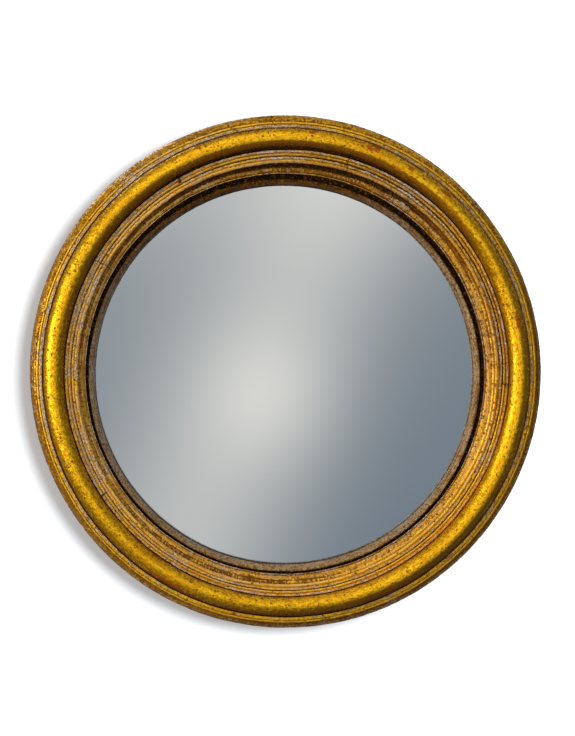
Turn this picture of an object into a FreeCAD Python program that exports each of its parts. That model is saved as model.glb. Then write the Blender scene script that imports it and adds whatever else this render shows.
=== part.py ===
import FreeCAD, Part
import math
import os

# A convex butler's mirror. A round gilt moulding carries a sight slip, and the slip is the tray of a
# slumped convex glass. A backing board closes the rebate behind them, six turn buttons hold the board,
# and the mirror hangs from one ring at the top.
#
# Millimetres. The mirror faces -Y and +Z is up. The origin is where the mirror's axis meets the wall,
# and the wall is the plane y = 0 that the four pads touch.
#
# A section is drawn as (radius, height): height is measured forward from the frame's back plane.

# ---- Glass: a standard 12 inch convex glass ----
glass_diameter = 305.0
glass_thickness = 3.0
glass_rise = 22.0             # rim to crown, on the front face

# ---- Slip: the inner ring that the glass lies in ----
slip_cover = 5.1              # how far its lip reaches over the glass
slip_lip_thickness = 2.2      # wood left at the sight edge
slip_face_width = 5.6
slip_face_rise = 3.6
slip_face_swell = 0.55        # the face is slightly rounded
slip_groove_depth = 2.2       # the dark groove between the slip's face and the frame
slip_groove_under_lip = 0.8   # how far it runs on behind the frame's lip
slip_seat_step = 1.2          # the seat stands this much above the face's outer arris
slip_play = 0.3               # radial, in the frame's rebate

# ---- Behind and around the glass ----
glazing_tape_thickness = 0.8  # felt tape between the glass and the slip
glazing_tape_width = 4.0
packer_gap = 1.5              # between the glass's edge and the slip's pocket
packer_count = 8
packer_length = 16.0
cushion_thickness = 1.4       # foam ring, where it is thinnest, behind the glass's edge
cushion_width = 8.5
board_thickness = 3.0
board_play = 0.5              # radial, in the frame's rebate
touch_gap = 0.1               # left between a soft piece and the curved glass

# ---- Frame moulding, from the sight edge outwards ----
groove_shown = 2.9            # how much of the slip's groove shows inside the frame's lip
lip_bearing = 5.0             # how far the rebate cuts back behind the sight edge
lip_thickness = 3.2
arris_width = 0.7
quirk_width = 0.3             # the fine cuts between members
quirk_depth = 0.6
band_width = 4.0
band_rise = 1.8
band_swell = 0.35
cove_width = 2.5
cove_rise = 2.4
cove_hollow = 0.55
ovolo_width = 3.3
ovolo_rise = 1.0
ovolo_swell = 1.0
inner_fillet_step = 0.5
inner_fillet_width = 1.8
bead_width = 2.4
bead_rise = 0.6
bead_swell = 0.9
crest_fillet_step = 0.6
crest_fillet_width = 1.6
inner_groove_width = 0.8
inner_groove_depth = 2.2
torus_width = 16.6            # the large half round
torus_stand = 2.8             # its straight foot, above the floor of the inner groove
outer_groove_width = 0.7
outer_groove_depth = 5.6      # below the torus's foot
outer_fillet_rise = 2.6
outer_fillet_width = 1.6
outer_bead_width = 2.1
outer_bead_drop = 0.5
outer_bead_swell = 0.75
rim_width = 4.5               # the outer quarter round, which turns to the side
rim_drop = 8.0
rim_swell = 1.2
side_taper = 1.6              # the side leans in towards the wall
back_chamfer = 1.4

# ---- Screws: round head, cross recess ----
screw_radius = 1.5
screw_length = 12.0           # under the head
screw_point = 2.6
screw_head_radius = 3.0
screw_head_height = 1.9
recess_width = 0.75
recess_span = 3.4
recess_depth = 1.0
pilot_play = 0.05             # radial, round the shank

# ---- Turn buttons ----
button_count = 6
button_thickness = 1.2
button_width = 9.5
button_pivot_inset = 6.5      # pivot to the rebate's edge
button_overlap = 10.0         # the rebate's edge to the centre of its tip
button_play = 0.1             # under the button, and under the screw's head
screw_hole_play = 0.08        # radial, round the shank, in the buttons and the plate
button_rib_radius = 1.3       # the pressed finger rib
button_rib_height = 0.9

# ---- Hanger: a plate, its rolled knuckle and the ring ----
ring_wire_radius = 1.5
ring_play = 0.1               # radial, in the knuckle
ring_half_width = 10.0        # to the wire's centre line
ring_corner_radius = 3.0
ring_side = 1.0               # straight part between the corner and the bow
ring_to_screw = 1.5           # clearance beside the ring
hanger_plate_thickness = 1.0
hanger_plate_height = 13.0
hanger_plate_end = 7.0        # screw's centre to the plate's end
hanger_bearing = 3.5          # plate's lower edge to the rebate's edge
knuckle_end_play = 1.0        # knuckle's end to the ring's corner
knuckle_neck = 3.0            # plate's upper edge to the ring's bar
knuckle_opening = 0.3         # the roll's end stops this much above the plate

# ---- Wall pads ----
wall_gap = 0.8                # between the hanger's knuckle and the wall
pad_base_radius = 6.5
pad_taper = 1.1
pad_edge = 0.6
pad_angles = (45.0, 135.0, 225.0, 315.0)

# ---- Sizes that follow ----
glass_radius = glass_diameter / 2
glass_curve = (glass_radius ** 2 + glass_rise ** 2) / (2 * glass_rise)
glass_back_curve = glass_curve - glass_thickness
slip_sight_radius = glass_radius - slip_cover
groove_inner_radius = slip_sight_radius + slip_face_width
sight_radius = groove_inner_radius + groove_shown
rebate_radius = sight_radius + lip_bearing
pocket_radius = glass_radius + packer_gap
slip_outer_radius = rebate_radius - slip_play


def cap_height(curve, radius):
    """Height of a sphere above its centre, at a distance from the axis."""
    return math.sqrt(curve ** 2 - radius ** 2)


glass_centre = board_thickness + cushion_thickness - cap_height(glass_back_curve, glass_radius)
seat_curve = glass_curve + glazing_tape_thickness + 2 * touch_gap
slip_sight_height = glass_centre + cap_height(seat_curve, slip_sight_radius) + slip_lip_thickness
slip_face_top = slip_sight_height + slip_face_rise
rebate_depth = slip_face_top + slip_seat_step
button_pivot_radius = rebate_radius + button_pivot_inset
knuckle_bore = ring_wire_radius + ring_play
knuckle_width = 2 * (ring_half_width - ring_corner_radius - knuckle_end_play)
knuckle_outer = knuckle_bore + hanger_plate_thickness
knuckle_wrap = 270.0 + math.degrees(math.asin((knuckle_bore - knuckle_opening) / knuckle_outer))
hanger_bar_height = hanger_plate_thickness + knuckle_bore
hanger_screw_x = ring_half_width + ring_wire_radius + ring_to_screw + screw_head_radius
hanger_plate_bottom = rebate_radius + hanger_bearing
hanger_plate_top = hanger_plate_bottom + hanger_plate_height
ring_bar_z = hanger_plate_top + knuckle_neck
pad_height = hanger_bar_height + knuckle_outer + wall_gap


def at(radius, height):
    """A point of a section: the plane that holds the axis and +X."""
    return FreeCAD.Vector(radius, -pad_height - height, 0)


def behind(x, z, distance):
    """A point behind the frame's back plane, towards the wall."""
    return FreeCAD.Vector(x, -pad_height + distance, z)


axis_out = FreeCAD.Vector(0, 1, 0)
to_wall = axis_out


class Section:
    """A closed outline in the section plane, drawn by moves from the last point."""

    def __init__(self, radius, height):
        self.radius, self.height = radius, height
        self.start = (radius, height)
        self.edges = []

    def line_to(self, radius, height):
        self.edges.append(Part.makeLine(at(self.radius, self.height), at(radius, height)))
        self.radius, self.height = radius, height

    def line(self, out, up):
        self.line_to(self.radius + out, self.height + up)

    def arc_to(self, radius, height, swell):
        """An arc whose middle stands off its chord: forward if swell is positive."""
        out, up = radius - self.radius, height - self.height
        chord = math.hypot(out, up)
        side = math.copysign(1, out)
        middle_radius = self.radius + out / 2 - side * swell * up / chord
        middle_height = self.height + up / 2 + side * swell * out / chord
        ends = at(self.radius, self.height), at(middle_radius, middle_height), at(radius, height)
        self.edges.append(Part.Arc(*ends).toShape())
        self.radius, self.height = radius, height

    def arc(self, out, up, swell):
        self.arc_to(self.radius + out, self.height + up, swell)

    def sphere_to(self, radius, curve):
        """Along a sphere that has the glass's centre, to a radius."""
        middle_radius = (self.radius + radius) / 2
        middle = at(middle_radius, glass_centre + cap_height(curve, middle_radius))
        height = glass_centre + cap_height(curve, radius)
        self.edges.append(Part.Arc(at(self.radius, self.height), middle, at(radius, height)).toShape())
        self.radius, self.height = radius, height

    def quirk(self):
        self.line(quirk_width / 2, -quirk_depth)
        self.line(quirk_width / 2, quirk_depth)

    def ring(self, turn=360.0):
        self.line_to(*self.start)
        return Part.Face(Part.Wire(self.edges)).revolve(FreeCAD.Vector(), axis_out, turn)


def turned(shape, angle):
    """The shape swung about the mirror's axis, anticlockwise as the front is seen."""
    copy = shape.copy()
    copy.rotate(FreeCAD.Vector(), axis_out, -angle)
    return copy


def moved(shape, x, z):
    copy = shape.copy()
    copy.translate(FreeCAD.Vector(x, 0, z))
    return copy


# ---- Frame ----

def moulding_face():
    """The members of the moulding, from the sight edge out to the rim."""
    s = Section(sight_radius, rebate_depth)
    s.line(0, lip_thickness)
    s.line(arris_width, 0)
    s.quirk()
    s.arc(band_width, band_rise, band_swell)
    s.arc(cove_width, cove_rise, -cove_hollow)
    s.arc(ovolo_width, ovolo_rise, ovolo_swell)
    s.quirk()
    s.line(0, inner_fillet_step)
    s.line(inner_fillet_width, 0)
    s.quirk()
    s.arc(bead_width, bead_rise, bead_swell)
    s.quirk()
    s.line(0, crest_fillet_step)
    s.line(crest_fillet_width, 0)
    s.line(inner_groove_width / 2, -inner_groove_depth)
    s.line(inner_groove_width / 2, torus_stand)
    s.arc(torus_width, 0, torus_width / 2)
    s.line(outer_groove_width / 2, -outer_groove_depth)
    s.line(outer_groove_width / 2, outer_fillet_rise)
    s.line(outer_fillet_width, 0)
    s.quirk()
    s.arc(outer_bead_width, -outer_bead_drop, outer_bead_swell)
    s.arc(rim_width, -rim_drop, rim_swell)
    return s


def moulding_ring():
    s = moulding_face()
    s.line_to(s.radius - side_taper, back_chamfer)
    s.line_to(s.radius - back_chamfer, 0)
    s.line_to(rebate_radius, 0)
    s.line_to(rebate_radius, rebate_depth)
    return s.ring()


def pilot_hole():
    """A blind hole on the Y axis, from the back plane into the frame."""
    depth = screw_length + pilot_play
    return Part.makeCylinder(screw_radius + pilot_play, depth, behind(0, 0, -depth), to_wall)


def frame_moulding():
    frame = moulding_ring()
    for x, z in button_pivots() + hanger_screw_places():
        frame = frame.cut(moved(pilot_hole(), x, z))
    return frame


# ---- Glass and what lies round it ----

def mirror_glass():
    s = Section(0, glass_centre + glass_curve)
    s.sphere_to(glass_radius, glass_curve)
    s.line_to(glass_radius, glass_centre + cap_height(glass_back_curve, glass_radius))
    s.sphere_to(0, glass_back_curve)
    return s.ring()


def sight_slip():
    """The glass lies in the pocket at its back. Its face slopes to the sight edge."""
    s = Section(slip_sight_radius, slip_sight_height)
    s.arc(slip_face_width, slip_face_rise, slip_face_swell)
    s.line(0, -slip_groove_depth)
    s.line_to(sight_radius + slip_groove_under_lip, s.height)
    s.line_to(s.radius, rebate_depth)
    s.line_to(slip_outer_radius, rebate_depth)
    s.line_to(slip_outer_radius, board_thickness)
    s.line_to(pocket_radius, board_thickness)
    s.line_to(pocket_radius, glass_centre + cap_height(seat_curve, pocket_radius))
    s.sphere_to(slip_sight_radius, seat_curve)
    return s.ring()


def glazing_tape():
    front, back = seat_curve - touch_gap, glass_curve + touch_gap
    inner = glass_radius - glazing_tape_width
    s = Section(inner, glass_centre + cap_height(front, inner))
    s.sphere_to(glass_radius, front)
    s.line_to(glass_radius, glass_centre + cap_height(back, glass_radius))
    s.sphere_to(inner, back)
    return s.ring()


def edge_packers():
    """Cork blocks that centre the glass in the slip's pocket."""
    inner, outer = glass_radius + touch_gap, pocket_radius - touch_gap
    turn = math.degrees(packer_length / glass_radius)
    s = Section(inner, board_thickness)
    s.line_to(outer, board_thickness)
    s.line_to(outer, glass_centre + cap_height(glass_curve, glass_radius))
    s.line_to(inner, glass_centre + cap_height(glass_curve, glass_radius))
    block = turned(s.ring(turn), turn / 2)
    return Part.makeCompound([turned(block, 360.0 / packer_count * n) for n in range(packer_count)])


def cushion_ring():
    """Foam that presses the glass forward when the board is shut."""
    front = glass_back_curve - touch_gap
    outer = glass_radius - touch_gap
    inner = outer - cushion_width
    s = Section(inner, board_thickness)
    s.line_to(inner, glass_centre + cap_height(front, inner))
    s.sphere_to(outer, front)
    s.line_to(outer, board_thickness)
    return s.ring()


def back_board():
    front = behind(0, 0, -board_thickness)
    return Part.makeCylinder(rebate_radius - board_play, board_thickness, front, to_wall)


# ---- Screws ----

def screw_hole(thickness):
    return Part.makeCylinder(screw_radius + screw_hole_play, thickness, behind(0, 0, 0), to_wall)


def screw(grip):
    """A round head screw on the Y axis. Grip is what lies between the frame and the head."""
    length_in = screw_length - grip
    shank = Part.makeCylinder(screw_radius, screw_length - screw_point,
                              behind(0, 0, screw_point - length_in), to_wall)
    point = Part.makeCone(0, screw_radius, screw_point, behind(0, 0, -length_in), to_wall)
    dome_radius = (screw_head_radius ** 2 + screw_head_height ** 2) / (2 * screw_head_height)
    dome = Part.makeSphere(dome_radius, behind(0, 0, grip + screw_head_height - dome_radius))
    head = Part.makeCylinder(screw_head_radius, screw_head_height, behind(0, 0, grip), to_wall).common(dome)
    body = shank.fuse([point, head])
    for across, along in ((recess_width, recess_span), (recess_span, recess_width)):
        corner = behind(-across / 2, -along / 2, grip + screw_head_height - recess_depth)
        body = body.cut(Part.makeBox(across, recess_depth, along, corner))
    return body.removeSplitter()


# ---- Turn buttons ----

def round_ended_plate(start_x, end_x, middle_z, half_width, thickness):
    """A plate along X on the back plane, between the centres of its two round ends."""
    def corner(x, side):
        return behind(x, middle_z + side * half_width, 0)

    outline = [
        Part.makeLine(corner(start_x, -1), corner(end_x, -1)),
        Part.Arc(corner(end_x, -1), corner(end_x + half_width, 0), corner(end_x, 1)).toShape(),
        Part.makeLine(corner(end_x, 1), corner(start_x, 1)),
        Part.Arc(corner(start_x, 1), corner(start_x - half_width, 0), corner(start_x, -1)).toShape(),
    ]
    return Part.Face(Part.Wire(outline)).extrude(to_wall * thickness)


def button_pivots():
    places = []
    for n in range(button_count):
        angle = math.radians(360.0 / button_count * n)
        places.append((button_pivot_radius * math.cos(angle), button_pivot_radius * math.sin(angle)))
    return places


def turn_button():
    """A plate with its pivot at +X, its tip over the board and a rib across the tip."""
    tip = rebate_radius - button_overlap
    plate = round_ended_plate(tip, button_pivot_radius, 0, button_width / 2, button_thickness)
    rib_length = button_width - 2 * button_rib_radius
    rib_centre = button_thickness + button_rib_height - button_rib_radius
    rib = Part.makeCylinder(button_rib_radius, rib_length, behind(tip, -rib_length / 2, rib_centre),
                            FreeCAD.Vector(0, 0, 1))
    above = Part.makeBox(2 * button_rib_radius, button_rib_height, rib_length,
                         behind(tip - button_rib_radius, -rib_length / 2, button_thickness))
    button = plate.fuse(rib.common(above)).cut(moved(screw_hole(button_thickness), button_pivot_radius, 0))
    button.translate(to_wall * button_play)
    return button.removeSplitter()


def button_screws():
    one = screw(button_thickness + 2 * button_play)
    return Part.makeCompound([moved(one, x, z) for x, z in button_pivots()])


# ---- Hanger ----

def hanger_screw_places():
    z = hanger_plate_bottom + hanger_plate_height / 2
    return [(side * hanger_screw_x, z) for side in (-1, 1)]


def hanger_plate():
    """A plate with round ends, and a tongue that is rolled round the ring's bar."""
    half = hanger_plate_height / 2
    reach = hanger_screw_x + hanger_plate_end - half
    plate = round_ended_plate(-reach, reach, hanger_plate_bottom + half, half, hanger_plate_thickness)
    plate = plate.fuse(knuckle())
    for x, z in hanger_screw_places():
        plate = plate.cut(moved(screw_hole(hanger_plate_thickness), x, z))
    return plate.removeSplitter()


def knuckle():
    """The tongue lies on the frame, goes over the bar and comes back to the plate."""
    left = -knuckle_width / 2
    root_z = hanger_plate_top - knuckle_neck

    def roll(radius, turn):
        angle = math.radians(turn - 90)
        z = ring_bar_z + radius * math.cos(angle)
        return behind(left, z, hanger_bar_height + radius * math.sin(angle))

    def roll_arc(radius, start, end):
        return Part.Arc(roll(radius, start), roll(radius, (start + end) / 2), roll(radius, end)).toShape()

    outline = [
        Part.makeLine(behind(left, root_z, 0), roll(knuckle_outer, 0)),
        roll_arc(knuckle_outer, 0, knuckle_wrap),
        Part.makeLine(roll(knuckle_outer, knuckle_wrap), roll(knuckle_bore, knuckle_wrap)),
        roll_arc(knuckle_bore, knuckle_wrap, 0),
        Part.makeLine(roll(knuckle_bore, 0), behind(left, root_z, hanger_plate_thickness)),
        Part.makeLine(behind(left, root_z, hanger_plate_thickness), behind(left, root_z, 0)),
    ]
    return Part.Face(Part.Wire(outline)).extrude(FreeCAD.Vector(knuckle_width, 0, 0))


def hanger_ring():
    """A wire D that hangs from its straight bar, down over the plate."""
    corner = ring_corner_radius
    bend = corner * (1 - math.cos(math.radians(45)))
    half = ring_half_width
    side_end = corner + ring_side

    def wire_at(x, drop):
        return behind(x, ring_bar_z - drop, hanger_bar_height)

    def wire_arc(*points):
        return Part.Arc(*[wire_at(x, drop) for x, drop in points]).toShape()

    path = [
        Part.makeLine(wire_at(corner - half, 0), wire_at(half - corner, 0)),
        wire_arc((half - corner, 0), (half - bend, bend), (half, corner)),
        Part.makeLine(wire_at(half, corner), wire_at(half, side_end)),
        wire_arc((half, side_end), (0, side_end + half), (-half, side_end)),
        Part.makeLine(wire_at(-half, side_end), wire_at(-half, corner)),
        wire_arc((-half, corner), (bend - half, bend), (corner - half, 0)),
    ]
    wire_end = Part.makeCircle(ring_wire_radius, wire_at(corner - half, 0), FreeCAD.Vector(1, 0, 0))
    return Part.Wire(path).makePipeShell([Part.Wire(wire_end)], True, False)


def hanger_screws():
    one = screw(hanger_plate_thickness)
    return Part.makeCompound([moved(one, x, z) for x, z in hanger_screw_places()])


# ---- Wall pads ----

def wall_pad():
    """A rubber bumper whose flat face rests on the wall."""
    pad = Part.makeCone(pad_base_radius, pad_base_radius - pad_taper, pad_height, behind(0, 0, 0), to_wall)
    face_edges = [edge for edge in pad.Edges if abs(edge.BoundBox.YMin) < pad_edge / 2]
    return moved(pad.makeFillet(pad_edge, face_edges), pad_place_radius(), 0)


def pad_place_radius():
    """The middle of the frame's flat back."""
    return (rebate_radius + moulding_face().radius - side_taper - back_chamfer) / 2


def parts():
    made = {
        "frame_moulding": frame_moulding(),
        "sight_slip": sight_slip(),
        "mirror_glass": mirror_glass(),
        "glazing_tape": glazing_tape(),
        "edge_packers": edge_packers(),
        "cushion_ring": cushion_ring(),
        "back_board": back_board(),
        "button_screws": button_screws(),
        "hanger_plate": hanger_plate(),
        "hanger_ring": hanger_ring(),
        "hanger_screws": hanger_screws(),
    }
    button = turn_button()
    for n in range(button_count):
        made["turn_button_%d" % (n + 1)] = turned(button, 360.0 / button_count * n)
    pad = wall_pad()
    for n, angle in enumerate(pad_angles):
        made["wall_pad_%d" % (n + 1)] = turned(pad, angle)
    return made


os.makedirs("parts", exist_ok=True)
for name, shape in parts().items():
    sound = shape.isValid() and all(solid.isClosed() for solid in shape.Solids)
    print("%-16s solids %d  volume %.1f mm3  sound %s" % (name, len(shape.Solids), shape.Volume, sound))
    shape.exportStep("parts/%s.step" % name)
print("outer radius %.2f, rebate radius %.2f, rebate depth %.2f, pad height %.2f" % (
    moulding_face().radius, rebate_radius, rebate_depth, pad_height))
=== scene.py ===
import bpy
import bmesh
import math
from mathutils import Matrix, Vector, noise


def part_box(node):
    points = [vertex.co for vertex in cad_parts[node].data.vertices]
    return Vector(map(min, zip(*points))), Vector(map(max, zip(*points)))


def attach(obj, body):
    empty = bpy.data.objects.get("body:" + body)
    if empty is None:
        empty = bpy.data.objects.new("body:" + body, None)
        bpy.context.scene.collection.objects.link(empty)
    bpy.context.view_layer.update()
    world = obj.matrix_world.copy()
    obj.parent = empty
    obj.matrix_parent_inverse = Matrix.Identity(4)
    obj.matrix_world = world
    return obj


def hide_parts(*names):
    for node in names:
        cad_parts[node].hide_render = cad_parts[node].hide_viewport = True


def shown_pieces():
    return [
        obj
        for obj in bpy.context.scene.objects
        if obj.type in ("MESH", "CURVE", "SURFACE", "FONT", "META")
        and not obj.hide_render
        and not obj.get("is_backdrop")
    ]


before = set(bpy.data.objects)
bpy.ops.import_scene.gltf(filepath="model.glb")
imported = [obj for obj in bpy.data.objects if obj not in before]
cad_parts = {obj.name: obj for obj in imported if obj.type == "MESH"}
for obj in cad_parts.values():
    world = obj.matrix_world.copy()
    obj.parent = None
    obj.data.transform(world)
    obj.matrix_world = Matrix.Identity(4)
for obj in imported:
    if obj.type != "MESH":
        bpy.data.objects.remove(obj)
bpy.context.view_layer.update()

mm = 0.001
mirrorAxis = Vector((0, 1, 0))
sectionNormal = Vector((0, 0, 1))
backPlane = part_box("frame_moulding")[1].y          # the frame's flat back stands this far off the wall
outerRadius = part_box("frame_moulding")[1].x


# helpers for meshes

def newPiece(name, bm):
    mesh = bpy.data.meshes.new(name)
    bm.to_mesh(mesh)
    bm.free()
    piece = bpy.data.objects.new(name, mesh)
    bpy.context.scene.collection.objects.link(piece)
    mesh.polygons.foreach_set("use_smooth", [True] * len(mesh.polygons))
    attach(piece, "mirror")
    print("made", name, len(mesh.polygons), "faces")
    return piece


def sectionPoint(radius, height):
    # a section lies in the plane of the axis and +X, height is measured forward from the frame's back
    return Vector((radius * mm, backPlane - height * mm, 0))


def startSection(bm, radius, height):
    return bmesh.ops.create_vert(bm, co=sectionPoint(radius, height))["vert"][0]


def lineTo(bm, vert, radius, height, cuts=1):
    start = vert.co.copy()
    end = sectionPoint(radius, height)
    for n in range(cuts):
        vert = bmesh.ops.extrude_vert_indiv(bm, verts=[vert])["verts"][0]
        vert.co = start.lerp(end, (n + 1) / cuts)
    return vert


def arcTo(bm, vert, radius, height, swell, cuts):
    # the arc's middle stands off its chord, forward if swell is positive
    start = vert.co.copy()
    chord = sectionPoint(radius, height) - start
    half = chord.length / 2
    swell = swell * mm
    arcRadius = (half ** 2 + swell ** 2) / (2 * abs(swell))
    side = math.copysign(1, swell) * math.copysign(1, chord.x)
    toCentre = Vector((-chord.y, chord.x, 0)).normalized() * side
    centre = start + chord / 2 + toCentre * (arcRadius - abs(swell))
    turn = 4 * math.atan2(abs(swell), half)
    swept = bmesh.ops.spin(bm, geom=[vert], cent=centre, axis=sectionNormal, angle=turn * side, steps=cuts)
    return [v for v in swept["geom_last"] if isinstance(v, bmesh.types.BMVert)][0]


def closeSection(bm, last, first):
    last.co = first.co
    bmesh.ops.remove_doubles(bm, verts=bm.verts[:], dist=0.01 * mm)


def spinSection(bm, steps):
    bmesh.ops.spin(bm, geom=bm.verts[:] + bm.edges[:], cent=(0, 0, 0), axis=mirrorAxis,
                   angle=2 * math.pi, steps=steps, use_merge=True)
    bmesh.ops.remove_doubles(bm, verts=bm.verts[:], dist=0.005 * mm)
    bmesh.ops.recalc_face_normals(bm, faces=bm.faces[:])


def softenCorners(bm, width, leastAngle):
    # only the edges that run round the ring are corners of the section
    sharp = [e for e in bm.edges if len(e.link_faces) == 2 and e.calc_face_angle() > math.radians(leastAngle)]
    bmesh.ops.bevel(bm, geom=sharp, offset=width * mm, offset_type="OFFSET", segments=1, profile=0.5,
                    affect="EDGES", material=-1, clamp_overlap=True)


def smoothStep(low, high, value):
    t = min(max((value - low) / (high - low), 0), 1)
    return t * t * (3 - 2 * t)


# helpers for materials

def put(tree, kind, feeds=None, **settings):
    # adds a node: settings are its properties, feeds are values or sockets for its inputs
    node = tree.nodes.new("ShaderNode" + kind)
    for name, value in settings.items():
        setattr(node, name, value)
    for name, value in (feeds or {}).items():
        if isinstance(value, bpy.types.NodeSocket):
            tree.links.new(value, node.inputs[name])
        else:
            node.inputs[name].default_value = value
    node.location = (170 * (len(tree.nodes) % 14), -230 * (len(tree.nodes) // 14))
    return node


def maths(tree, operation, *values):
    return put(tree, "Math", dict(enumerate(values)), operation=operation).outputs[0]


def ramp(tree, value, low, high, start=0.0, end=1.0):
    # smooth step from low to high
    node = put(tree, "MapRange", {"Value": value, "From Min": low, "From Max": high, "To Min": start,
                                  "To Max": end}, interpolation_type="SMOOTHSTEP")
    return node.outputs["Result"]


def blendColour(tree, share, under, over):
    return put(tree, "Mix", {0: share, 6: under, 7: over}, data_type="RGBA").outputs[2]


def blendValue(tree, share, under, over):
    return put(tree, "Mix", {0: share, 2: under, 3: over}, data_type="FLOAT").outputs[0]


def newGroup(name, inputs, outputs):
    group = bpy.data.node_groups.new(name, "ShaderNodeTree")
    for socketName, kind, value in inputs:
        socket = group.interface.new_socket(name=socketName, in_out="INPUT", socket_type="NodeSocket" + kind)
        if value is not None:
            socket.default_value = value
    for socketName, kind in outputs:
        group.interface.new_socket(name=socketName, in_out="OUTPUT", socket_type="NodeSocket" + kind)
    entry = group.nodes.new("NodeGroupInput")
    leave = group.nodes.new("NodeGroupOutput")
    return group, entry.outputs, leave.inputs


def useGroup(tree, group, feeds):
    return put(tree, "Group", feeds, node_tree=group).outputs


def newMaterial(name):
    material = bpy.data.materials.new(name)
    material.use_nodes = True
    material.node_tree.nodes.clear()
    return material, material.node_tree


def finishMaterial(tree, feeds):
    shader = put(tree, "BsdfPrincipled", feeds)
    output = put(tree, "OutputMaterial")
    tree.links.new(shader.outputs[0], output.inputs["Surface"])


def pointInMm(tree):
    where = put(tree, "TexCoord").outputs["Object"]
    return put(tree, "VectorMath", {0: where, "Scale": 1 / mm}, operation="SCALE").outputs[0]


def dress(piece, material):
    piece.data.materials.clear()
    piece.data.materials.append(material)


# effects that materials share

ringMiddle = 175.0                                 # radius in mm at which Along is true


def makeRingGrain():
    # noise without a seam: its marks are Along mm long round the ring and Across mm wide
    group, give, take = newGroup("ringGrain", [
        ("Point", "Vector", None), ("Along", "Float", 4.0), ("Across", "Float", 4.0),
        ("Detail", "Float", 3.0), ("Seed", "Float", 0.0)], [("Value", "Float")])
    xyz = put(group, "SeparateXYZ", {0: give["Point"]}).outputs
    flat = put(group, "CombineXYZ", {"X": xyz["X"], "Z": xyz["Z"]}).outputs[0]
    radius = put(group, "VectorMath", {0: flat}, operation="LENGTH").outputs["Value"]
    way = put(group, "VectorMath", {0: flat}, operation="NORMALIZE").outputs[0]
    turns = maths(group, "DIVIDE", ringMiddle, give["Along"])
    round_ = put(group, "VectorMath", {0: way, "Scale": turns}, operation="SCALE").outputs[0]
    roundXyz = put(group, "SeparateXYZ", {0: round_}).outputs
    across = maths(group, "DIVIDE", radius, give["Across"])
    depth = maths(group, "DIVIDE", xyz["Y"], give["Across"])
    place = put(group, "CombineXYZ", {"X": roundXyz["X"], "Y": across, "Z": roundXyz["Z"]}).outputs[0]
    marks = put(group, "TexNoise", {"Vector": place, "W": maths(group, "ADD", depth, give["Seed"]),
                                    "Scale": 1.0, "Detail": give["Detail"], "Roughness": 0.6},
                noise_dimensions="4D")
    group.links.new(marks.outputs[0], take["Value"])
    return group


def makeSpecks():
    # small ragged marks of uneven size, as many as Amount says
    group, give, take = newGroup("specks", [
        ("Point", "Vector", None), ("Spacing", "Float", 3.0), ("Size", "Float", 0.3),
        ("Amount", "Float", 0.5), ("Seed", "Float", 0.0)], [("Mask", "Float")])
    scale = maths(group, "DIVIDE", 1.0, give["Spacing"])
    cells = put(group, "TexVoronoi", {"Vector": give["Point"], "W": give["Seed"], "Scale": scale},
                voronoi_dimensions="4D")
    chance = put(group, "SeparateColor", {0: cells.outputs["Color"]}).outputs
    edge = put(group, "TexNoise", {"Vector": give["Point"], "Scale": 2.2, "Detail": 3.0}).outputs[0]
    reach = maths(group, "MULTIPLY", maths(group, "MULTIPLY", give["Size"], chance[1]),
                  maths(group, "MULTIPLY_ADD", edge, 2.6, -0.3))
    inside = ramp(group, maths(group, "SUBTRACT", reach, cells.outputs["Distance"]), 0.0, 0.08)
    shown = maths(group, "LESS_THAN", chance[0], give["Amount"])
    group.links.new(maths(group, "MULTIPLY", inside, shown), take["Mask"])
    return group


def makeSmudges():
    # uneven handling marks for metal, rubber and board
    group, give, take = newGroup("smudges", [
        ("Point", "Vector", None), ("Size", "Float", 8.0), ("Seed", "Float", 0.0)], [("Value", "Float")])
    cloud = put(group, "TexNoise", {"Vector": give["Point"], "W": give["Seed"], "Detail": 4.0,
                                    "Scale": maths(group, "DIVIDE", 1.0, give["Size"]), "Distortion": 0.6},
                noise_dimensions="4D")
    group.links.new(cloud.outputs[0], take["Value"])
    return group


ringGrain = makeRingGrain()
specks = makeSpecks()
smudges = makeSmudges()


def grain(tree, point, along, across, detail=3.0, seed=0.0):
    return useGroup(tree, ringGrain, {"Point": point, "Along": along, "Across": across,
                                      "Detail": detail, "Seed": seed})["Value"]


def readMark(tree, name):
    return put(tree, "Attribute", attribute_name=name, attribute_type="GEOMETRY").outputs["Fac"]


print("shared effects ready")


# gilding

gilding = {
    "leafBright": (0.88, 0.50, 0.010, 1),
    "leafDeep": (0.66, 0.29, 0.003, 1),
    "leafOrange": (0.72, 0.335, 0.028, 1),
    "leafBrown": (0.30, 0.105, 0.003, 1),
    "blush": (0.80, 0.52, 0.22, 1),
    "bole": (0.36, 0.055, 0.006, 1),
    "wash": (0.115, 0.036, 0.002, 1),
    "washLight": (0.26, 0.092, 0.004, 1),
    "washDeep": (0.026, 0.009, 0.001, 1),
    "gesso": (0.70, 0.60, 0.48, 1),
    "gessoDirty": (0.27, 0.17, 0.09, 1),
    "speck": (0.165, 0.055, 0.003, 1),
    "wood": (0.36, 0.21, 0.10, 1),
    "woodDark": (0.20, 0.105, 0.045, 1),
    "ochre": (0.42, 0.24, 0.06, 1),
    "fleckAmount": 0.22, "roughness": 0.40, "metal": 1.0, "strokes": 1.6, "lacquer": 0.08,
}

cracks = [
    # fine cracks and knocks across the members: angle in degrees from the right, from and to radius, width
    (93.5, 191, 201, 0.5), (150.0, 157, 174, 0.5), (73.7, 160, 176, 0.6), (119.5, 168, 175, 1.6),
    (214.0, 169, 175, 0.9), (-3.4, 168, 175, 0.8),
]


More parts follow.
